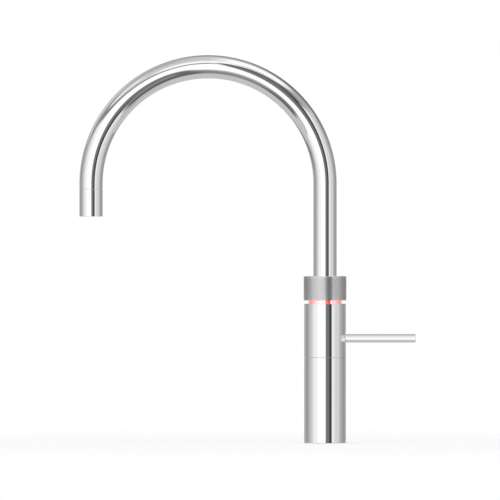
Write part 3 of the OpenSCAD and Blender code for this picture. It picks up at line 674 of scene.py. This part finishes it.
def lit_collar():
    """The polished wall in the gap under the knurled ring, with the flange that holds it."""
    skin = Skin()
    flange_top = sleeve_high[2]
    revolve(skin, rounded([
        (LIGHT_IN_R, light_low[2], 0), (light_high[0], light_low[2], 0),
        (light_high[0], flange_top, FINE_EDGE), (LIGHT_R, flange_top, 0),
        (LIGHT_R, light_high[2], FINE_EDGE), (LIGHT_IN_R, light_high[2], FINE_EDGE)]))
    return skin.make("lit_collar", LIT)


def knurled_grip():
    """The ring: flat-topped diamonds between crossed V grooves. The grooves cross at every other
    lattice point, and each diamond rises from them by a sloping wall and a small break."""
    low, high, top_r = ring_low[2], ring_high[2], ring_high[0]
    groove_r = top_r - KNURL_DEPTH
    knurl_low, knurl_high = low + RING_RIM, high - RING_RIM
    around, rows = 2 * KNURL_COUNT, 2 * KNURL_ROWS
    skin = Skin()

    def spot(column, row, radius):
        """The point and the normal at a place of the lattice."""
        a = KNURL_TURN + TURN * (column % around) / around
        z = knurl_low + (knurl_high - knurl_low) * row / rows
        return (radius * math.cos(a), radius * math.sin(a), z), (math.cos(a), math.sin(a), 0)

    def diamond(column, row):
        """One diamond round a place of the lattice, cut off straight at the knurl's rims."""
        corners = [(column + 1, row), (column, row + 1), (column - 1, row), (column, row - 1)]
        corners = [(c, min(max(r, 0), rows)) for c, r in corners]
        middle_row = sum(r for _, r in corners) / 4
        levels = []
        for share, drop in ((1, 1), (BREAK_SHARE, BREAK_DROP), (LAND_SHARE, 0)):
            levels.append([spot(column + (c - column) * share,
                                middle_row + (r - middle_row) * share,
                                top_r - drop * KNURL_DEPTH) for c, r in corners])
        valley, broken, land = levels
        for i in range(4):
            m = (i + 1) % 4
            wall = [valley[i][0], valley[m][0], broken[m][0], broken[i][0]]
            p = [np.array(q) for q in wall]
            out = np.cross(p[2] - p[0], p[3] - p[1])
            out = out / np.linalg.norm(out)
            skin.face([(q, out) for q in wall])
            skin.face([(broken[i][0], out), (broken[m][0], out), land[m], land[i]])
        skin.face(land)

    for row in range(rows + 1):
        for column in range(around):
            if (row + column) % 2 == 0:
                diamond(column, row)

    inside = [
        (groove_r, knurl_high, 0), (groove_r, high, RING_CHAMFER), (RING_HOLE_R, high, EDGE),
        (RING_HOLE_R, high - RING_TOP_WALL, 0), (RING_IN_R, high - RING_TOP_WALL, 0),
        (RING_IN_R, low, FINE_EDGE), (groove_r, low, RING_CHAMFER), (groove_r, knurl_low, 0)]
    revolve(skin, rounded(inside, closed=False), sides=around, first=KNURL_TURN)
    return skin.make("knurled_grip", KNURL)


def swan_neck():
    """The bent tube: foot, up leg, half-circle bend, down leg and the spigot in the outlet."""
    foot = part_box("thrust_washer")[1][2]
    shoulder = outlet_high[2] + OUTLET_SEAM
    end = shoulder - SPIGOT_L
    spigot_r = BORE_R + SPIGOT_STEP
    groove_r = snap_high[0] + FREE
    groove = (snap_low[2] - GROOVE_ROOM, snap_high[2] + GROOVE_ROOM)
    skin = Skin()

    def rings(radius, start, stop, out):
        """Rings of points and normals along the path, from the foot to the outlet."""
        stations = [((0, 0, start), (0, 0, 1))]
        for k in range(BEND_RINGS + 1):
            a = math.pi * k / BEND_RINGS
            stations.append(((BEND_R * (math.cos(a) - 1), 0, BEND_Z + BEND_R * math.sin(a)),
                             (-math.sin(a), 0, math.cos(a))))
        stations.append(((OUTLET_X, 0, stop), (0, 0, -1)))
        side = np.array([0.0, 1.0, 0.0])
        grid, normals = [], []
        for place, along in stations:
            other = np.cross(side, along)
            ways = []
            for k in range(TUBE_SIDES + 1):
                a = TURN * (k % TUBE_SIDES) / TUBE_SIDES
                ways.append(other * math.cos(a) + side * math.sin(a))
            grid.append([np.array(place) + way * radius for way in ways])
            normals.append([way * out for way in ways])
        return grid, normals

    grid, normals = rings(SPOUT_R, foot + LEG_LAP, shoulder + LEG_LAP, 1)
    skin.patch(grid, normals)
    grid, normals = rings(BORE_R, groove[1] + LEG_LAP, end + LEG_LAP, -1)
    skin.patch([row[::-1] for row in grid], [row[::-1] for row in normals])
    foot_outline = [
        (BORE_R, groove[1] + LEG_LAP, 0), (BORE_R, groove[1], 0), (groove_r, groove[1], 0),
        (groove_r, groove[0], 0), (BORE_R, groove[0], 0), (BORE_R, foot, FINE_EDGE),
        (SPOUT_R, foot, FINE_EDGE), (SPOUT_R, foot + LEG_LAP, 0)]
    revolve(skin, rounded(foot_outline, closed=False), sides=TUBE_SIDES)
    end_outline = [
        (BORE_R, end + LEG_LAP, 0), (BORE_R, end, FINE_EDGE), (spigot_r, end, FINE_EDGE),
        (spigot_r, shoulder, 0), (SPOUT_R, shoulder, FINE_EDGE), (SPOUT_R, shoulder + LEG_LAP, 0)]
    revolve(skin, rounded(end_outline, closed=False), centre=(OUTLET_X, 0, 0), sides=TUBE_SIDES)
    return skin.make("swan_neck", CHROME)


def outlet_tip():
    """The sleeve at the spout's end, with the lip that holds the aerator."""
    low, top = outlet_low[2], outlet_high[2]
    shelf = top + OUTLET_SEAM - SPIGOT_L - SLIP
    socket_r = BORE_R + SPIGOT_STEP + SLIP / 2
    skin = Skin()
    revolve(skin, rounded([
        (BORE_R - OUTLET_LIP, low, FINE_EDGE), (SPOUT_R, low, OUTLET_EDGE),
        (SPOUT_R, top, OUTLET_EDGE), (socket_r, top, 0), (socket_r, shelf, 0),
        (BORE_R, shelf, 0), (BORE_R, aerator_low[2], 0),
        (BORE_R - OUTLET_LIP, aerator_low[2], FINE_EDGE)]),
        centre=(OUTLET_X, 0, 0), sides=TUBE_SIDES)
    return skin.make("outlet_tip", CHROME)


def spring_coil():
    """The wire spring inside the ring: one unbroken tube with flat ends."""
    low, high = box_of("ring_spring")
    circle = high[0] - WIRE_R
    start, rise = low[2] + WIRE_R, high[2] - low[2] - 2 * WIRE_R
    up = np.array([0.0, 0.0, 1.0])
    steps = SPRING_TURNS * COIL_STEPS
    skin = Skin()
    grid, normals = [], []
    for i in range(steps + 1):
        a = TURN * i / COIL_STEPS
        out = np.array([math.cos(a), math.sin(a), 0.0])
        middle = out * circle + up * (start + rise * i / steps)
        turns = [TURN * (k % WIRE_SIDES) / WIRE_SIDES for k in range(WIRE_SIDES, -1, -1)]
        ways = [out * math.cos(b) + up * math.sin(b) for b in turns]
        grid.append([middle + way * WIRE_R for way in ways])
        normals.append(ways)
    skin.patch(grid, normals)
    for ring, along in ((grid[0][:0:-1], -1.0), (grid[-1][1:], 1.0)):
        skin.face([(point, (0.0, along, 0.0)) for point in ring])
    return skin.make("spring_coil", STEEL)


# ---- the object: chrome skins for what shows, finished CAD pieces for the rest

SKINS = [
    (base_casing, "body", "base_sleeve", "chrome"),
    (lever_casing, "lever_section", "lever_sleeve", "chrome"),
    (lever_bar, "lever", "lever_rod", "chrome"),
    (lit_collar, "body", "light_ring", "lit_plastic"),
    (knurled_grip, "ring", "knurled_ring", "chrome"),
    (swan_neck, "spout", "spout_tube", "chrome"),
    (outlet_tip, "spout", "outlet_sleeve", "chrome"),
    (spring_coil, "ring_drive", "ring_spring", "steel"),
]
for make_piece, body, node, slot in SKINS:
    piece = make_piece()
    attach(piece, body)
    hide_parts(node)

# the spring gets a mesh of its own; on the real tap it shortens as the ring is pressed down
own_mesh(bpy.data.objects["spring_coil"])

FINISHES = {
    "chrome": CHROME, "brass": BRASS, "steel": STEEL, "rubber": RUBBER, "plastic": PLASTIC,
    "disc_ceramic": CERAMIC, "board": BOARD, "lit_plastic": LIT,
}
OWN_FINISHES = {"light_diodes": DIODES, "aerator_screen": SCREEN}
for part in frame["record"]["subparts"]:
    node = frame["nodes"][part["node"]]
    finish = OWN_FINISHES.get(part["node"], FINISHES[part["material_slot"]])
    node.data.materials.clear()
    node.data.materials.append(finish)


# ---- studio: what the chrome mirrors, by direction; azimuth 0 is the camera's side, +X is 90

LIGHT_TOP = 1.2         # brightest that a ramp goes
FOOT_LOWEST = -40       # lowest that the wall's foot goes, in degrees
WALL_TOP = 31           # where the wall meets the ceiling, in degrees
HORIZON_SOFT = 0.5      # degrees to either side over which the wall gives way to ceiling and floor
FLOOR = 0.57            # brightness of the floor
# brightness of the wall, by azimuth
WALL = [
    (-180, 0.30), (-165, 0.36), (-150, 0.46), (-138, 0.42), (-126, 0.32), (-112, 0.34),
    (-103, 0.44), (-90, 0.56), (-81, 0.62), (-68, 0.84), (-58, 0.97), (-49, 0.87),
    (-42, 1.10), (2.2, 1.10), (4.2, 0.19), (20, 0.175), (27, 0.05), (36.8, 0.05), (38.2, 1.0),
    (47, 0.86), (65, 0.66), (74, 0.74), (90, 0.52), (105, 0.40), (125, 0.31), (143, 0.36),
    (158, 0.42), (180, 0.30)]
# where the wall stands on the floor, by azimuth
FOOT = [(-180, -10), (-157, -19), (-138, -26), (-112, -19), (-90, -17), (-70, -25), (-50, -21),
        (-37, -20), (-20, -26), (0, -28), (37, -25), (50, -33), (70, -37), (100, -28), (180, -14)]
# brightness of the ceiling, by the angle up from the camera's side and over to the back
CEILING = [(60, 0.62), (108, 0.62), (122, 0.46), (136, 0.30), (160, 0.24)]
# soft-edged panels: low and high azimuth, low and high elevation, width of the edge, brightness
WALL_PANELS = [
    (-108, -86, 22, 44, 6, 0.28), (-86, 2, 28, 37, 4, 0.24), (-150, -116, 16, 42, 10, 0.66),
    (3.4, 46, 29, 42, 3, 0.12), (44, 62, 33, 45, 4, 0.32), (60, 125, 36, 47, 4, 0.42),
    (118, 166, 18, 50, 10, 0.18), (-155, -104, -20, -8, 5, 0.24)]
# the same on the ceiling and the floor: low and high to +X, low and high to the camera's side, as
# shares of the height, then the edge and the brightness
CEILING_PANELS = [
    (-1.8, -0.2, -2.5, 0, 0.3, 0.45), (0.1, 0.82, -0.2, 0.6, 0.2, 1.06),
    (-1.3, -0.62, 0.12, 0.5, 0.15, 0.92), (-0.45, 0.27, 0.55, 1.3, 0.2, 1.0)]
FLOOR_PANELS = [
    (-1.3, 1.1, 0.36, 4, 0.2, 0.25), (-1.3, -0.6, 0.42, 1.2, 0.2, 0.14),
    (0.1, 1.0, 0.42, 1.0, 0.15, 0.12), (0.08, 0.28, 0.4, 4, 0.1, 0.14),
    (-0.75, 0.05, 1.15, 4, 0.3, 0.5)]

# the disc that the part stands on; it fades out between two shares of its radius
DISC_R = 0.9
DISC_SIDES = 96
DISC_SHIFT = 0.6        # from the body's axis to the disc's middle, in bend radii
DISC_DROP = 0.2 * MM    # under the worktop's plane, clear of the seal's face
DISC_GLOW = 0.45
FADE_START, FADE_END = 0.45, 0.98
# the card under the lever: its distance below the lever and past its tip, and its edges in y
CARD_UNDER, CARD_PAST = 3.5 * MM, 5 * MM
CARD_FRONT, CARD_BACK = -24 * MM, -5.4 * MM
CARD_GLOW = 0.32
# the camera: its distance, the width that it sees, and the point that it looks at
CAMERA_AWAY = 13.0
VIEW_WIDTH = 0.4735
VIEW_X, VIEW_Z = -0.07107, 0.18278
SENSOR_WIDTH = 36       # in millimetres, as Blender has it


def ramp(tree, angle, stops, low=0.0, high=LIGHT_TOP):
    """A value between low and high that follows an angle between -180 and 180 degrees."""
    node = tree.nodes.new("ShaderNodeValToRGB")
    points = node.color_ramp.elements
    while len(points) < len(stops):
        points.new(1.0)
    for point, (degrees, _) in zip(points, stops):
        point.position = (degrees + 180) / 360
    for point, (_, value) in zip(points, stops):
        share = (value - low) / (high - low)
        point.color = (share, share, share, 1)
    fill(tree, node.inputs["Fac"], calc(tree, "MULTIPLY_ADD", angle, 1 / 360, 0.5))
    return calc(tree, "MULTIPLY_ADD", node.outputs["Color"], high - low, low)


def lay_panels(tree, light, across, along, panels, where=1.0):
    """Lays soft-edged panels one after another over the light, where that is 1."""
    for a_low, a_high, b_low, b_high, edge, brightness in panels:
        share = calc(tree, "MULTIPLY", within(tree, across, a_low, a_high, edge),
                     within(tree, along, b_low, b_high, edge))
        light = mix(tree, light, brightness, calc(tree, "MULTIPLY", share, where))
    return light


def studio():
    """A world that is plain white to the eye, and walls, ceiling and floor to the chrome."""
    world = bpy.data.worlds.new("studio")
    bpy.context.scene.world = world
    world.use_nodes = True
    tree = world.node_tree
    tree.nodes.clear()

    place = tree.nodes.new("ShaderNodeTexCoord")
    split = tree.nodes.new("ShaderNodeSeparateXYZ")
    tree.links.new(place.outputs["Generated"], split.inputs[0])
    x, y, z = split.outputs
    toward = calc(tree, "MULTIPLY", y, -1.0)
    azimuth = calc(tree, "DIVIDE", calc(tree, "ARCTAN2", x, toward), DEG)
    pitch = calc(tree, "DIVIDE", calc(tree, "ARCTAN2", z, toward), DEG)
    elevation = calc(tree, "DIVIDE", calc(tree, "ARCSINE", z), DEG)
    height = calc(tree, "ABSOLUTE", z)
    across = calc(tree, "DIVIDE", x, height)
    along = calc(tree, "DIVIDE", toward, height)
    foot = ramp(tree, azimuth, FOOT, FOOT_LOWEST, 0)
    above = spread(tree, elevation, 0, 1, WALL_TOP - HORIZON_SOFT, WALL_TOP + HORIZON_SOFT)
    below = spread(tree, calc(tree, "SUBTRACT", elevation, foot), 1, 0,
                   -HORIZON_SOFT, HORIZON_SOFT)

    ceiling = lay_panels(tree, ramp(tree, pitch, CEILING), across, along, CEILING_PANELS)
    floor = lay_panels(tree, FLOOR, across, along, FLOOR_PANELS)
    light = mix(tree, ramp(tree, azimuth, WALL), ceiling, above)
    light = mix(tree, light, floor, below)
    light = lay_panels(tree, light, azimuth, elevation, WALL_PANELS)

    # what the chrome mirrors, and the plain white that the camera sees
    shaders = []
    for strength in (light, 1.0):
        node = tree.nodes.new("ShaderNodeBackground")
        node.inputs["Color"].default_value = (1, 1, 1, 1)
        fill(tree, node.inputs["Strength"], strength)
        shaders.append(node.outputs[0])
    path = tree.nodes.new("ShaderNodeLightPath")
    both = tree.nodes.new("ShaderNodeMixShader")
    out = tree.nodes.new("ShaderNodeOutputWorld")
    for socket, value in zip(both.inputs, (path.outputs["Is Camera Ray"], *shaders)):
        tree.links.new(value, socket)
    tree.links.new(both.outputs[0], out.inputs["Surface"])


def pale_floor():
    """A white disc under the part that fades out at its rim; the chrome doesn't mirror it."""
    mesh = bpy.data.meshes.new("floor")
    turns = [TURN * k / DISC_SIDES for k in range(DISC_SIDES)]
    rim = [(DISC_R * math.cos(a), DISC_R * math.sin(a), 0) for a in turns]
    mesh.from_pydata(rim, [], [list(range(DISC_SIDES))])
    floor = put_in_scene("floor", mesh)
    floor.location = (-DISC_SHIFT * BEND_R, 0, -DISC_DROP)
    floor.visible_glossy = False
    mat, tree, shader = material("floor_white", (0.9, 0.9, 0.9), roughness=0.9)
    shader.inputs["Emission Color"].default_value = (1, 1, 1, 1)
    shader.inputs["Emission Strength"].default_value = DISC_GLOW
    reach = length_of(tree, own_place(tree))
    fade = spread(tree, reach, 1, 0, DISC_R * FADE_START, DISC_R * FADE_END)
    tree.links.new(fade, shader.inputs["Alpha"])
    mesh.materials.append(mat)


def bounce_card():
    """A clear glowing card under the lever: it lights the lever's underside and nothing else."""
    right = rod_high[0] + CARD_PAST
    left, z = BODY_R + SLIP, ROD_Z - ROD_R - CARD_UNDER
    corners = [(left, CARD_FRONT, z), (right, CARD_FRONT, z), (right, CARD_BACK, z),
               (left, CARD_BACK, z)]
    mesh = bpy.data.meshes.new("bounce_card")
    mesh.from_pydata(corners, [], [(0, 1, 2, 3)])
    card = put_in_scene("bounce_card", mesh)
    card.visible_camera = card.visible_diffuse = card.visible_shadow = False
    lit = bpy.data.collections.new("lit_by_card")
    lit.objects.link(bpy.data.objects["lever_bar"])
    card.light_linking.receiver_collection = lit

    mat, tree, _ = material("card_glow", (1, 1, 1))
    tree.nodes.clear()
    clear = tree.nodes.new("ShaderNodeBsdfTransparent")
    glow = tree.nodes.new("ShaderNodeEmission")
    glow.inputs["Strength"].default_value = CARD_GLOW
    both = tree.nodes.new("ShaderNodeAddShader")
    out = tree.nodes.new("ShaderNodeOutputMaterial")
    tree.links.new(clear.outputs[0], both.inputs[0])
    tree.links.new(glow.outputs[0], both.inputs[1])
    tree.links.new(both.outputs[0], out.inputs["Surface"])
    mesh.materials.append(mat)


def camera():
    """Level with the middle of the part, far off, so that nothing converges."""
    data = bpy.data.cameras.new("camera")
    data.sensor_width = SENSOR_WIDTH
    data.lens = SENSOR_WIDTH * CAMERA_AWAY / VIEW_WIDTH
    data.clip_start, data.clip_end = 1, 3 * CAMERA_AWAY
    eye = put_in_scene("camera", data)
    eye.location = (VIEW_X, -CAMERA_AWAY, VIEW_Z)
    eye.rotation_euler = (math.pi / 2, 0, 0)
    bpy.context.scene.camera = eye


studio()
pale_floor()
bounce_card()
camera()
bpy.context.scene.view_settings.view_transform = "Standard"
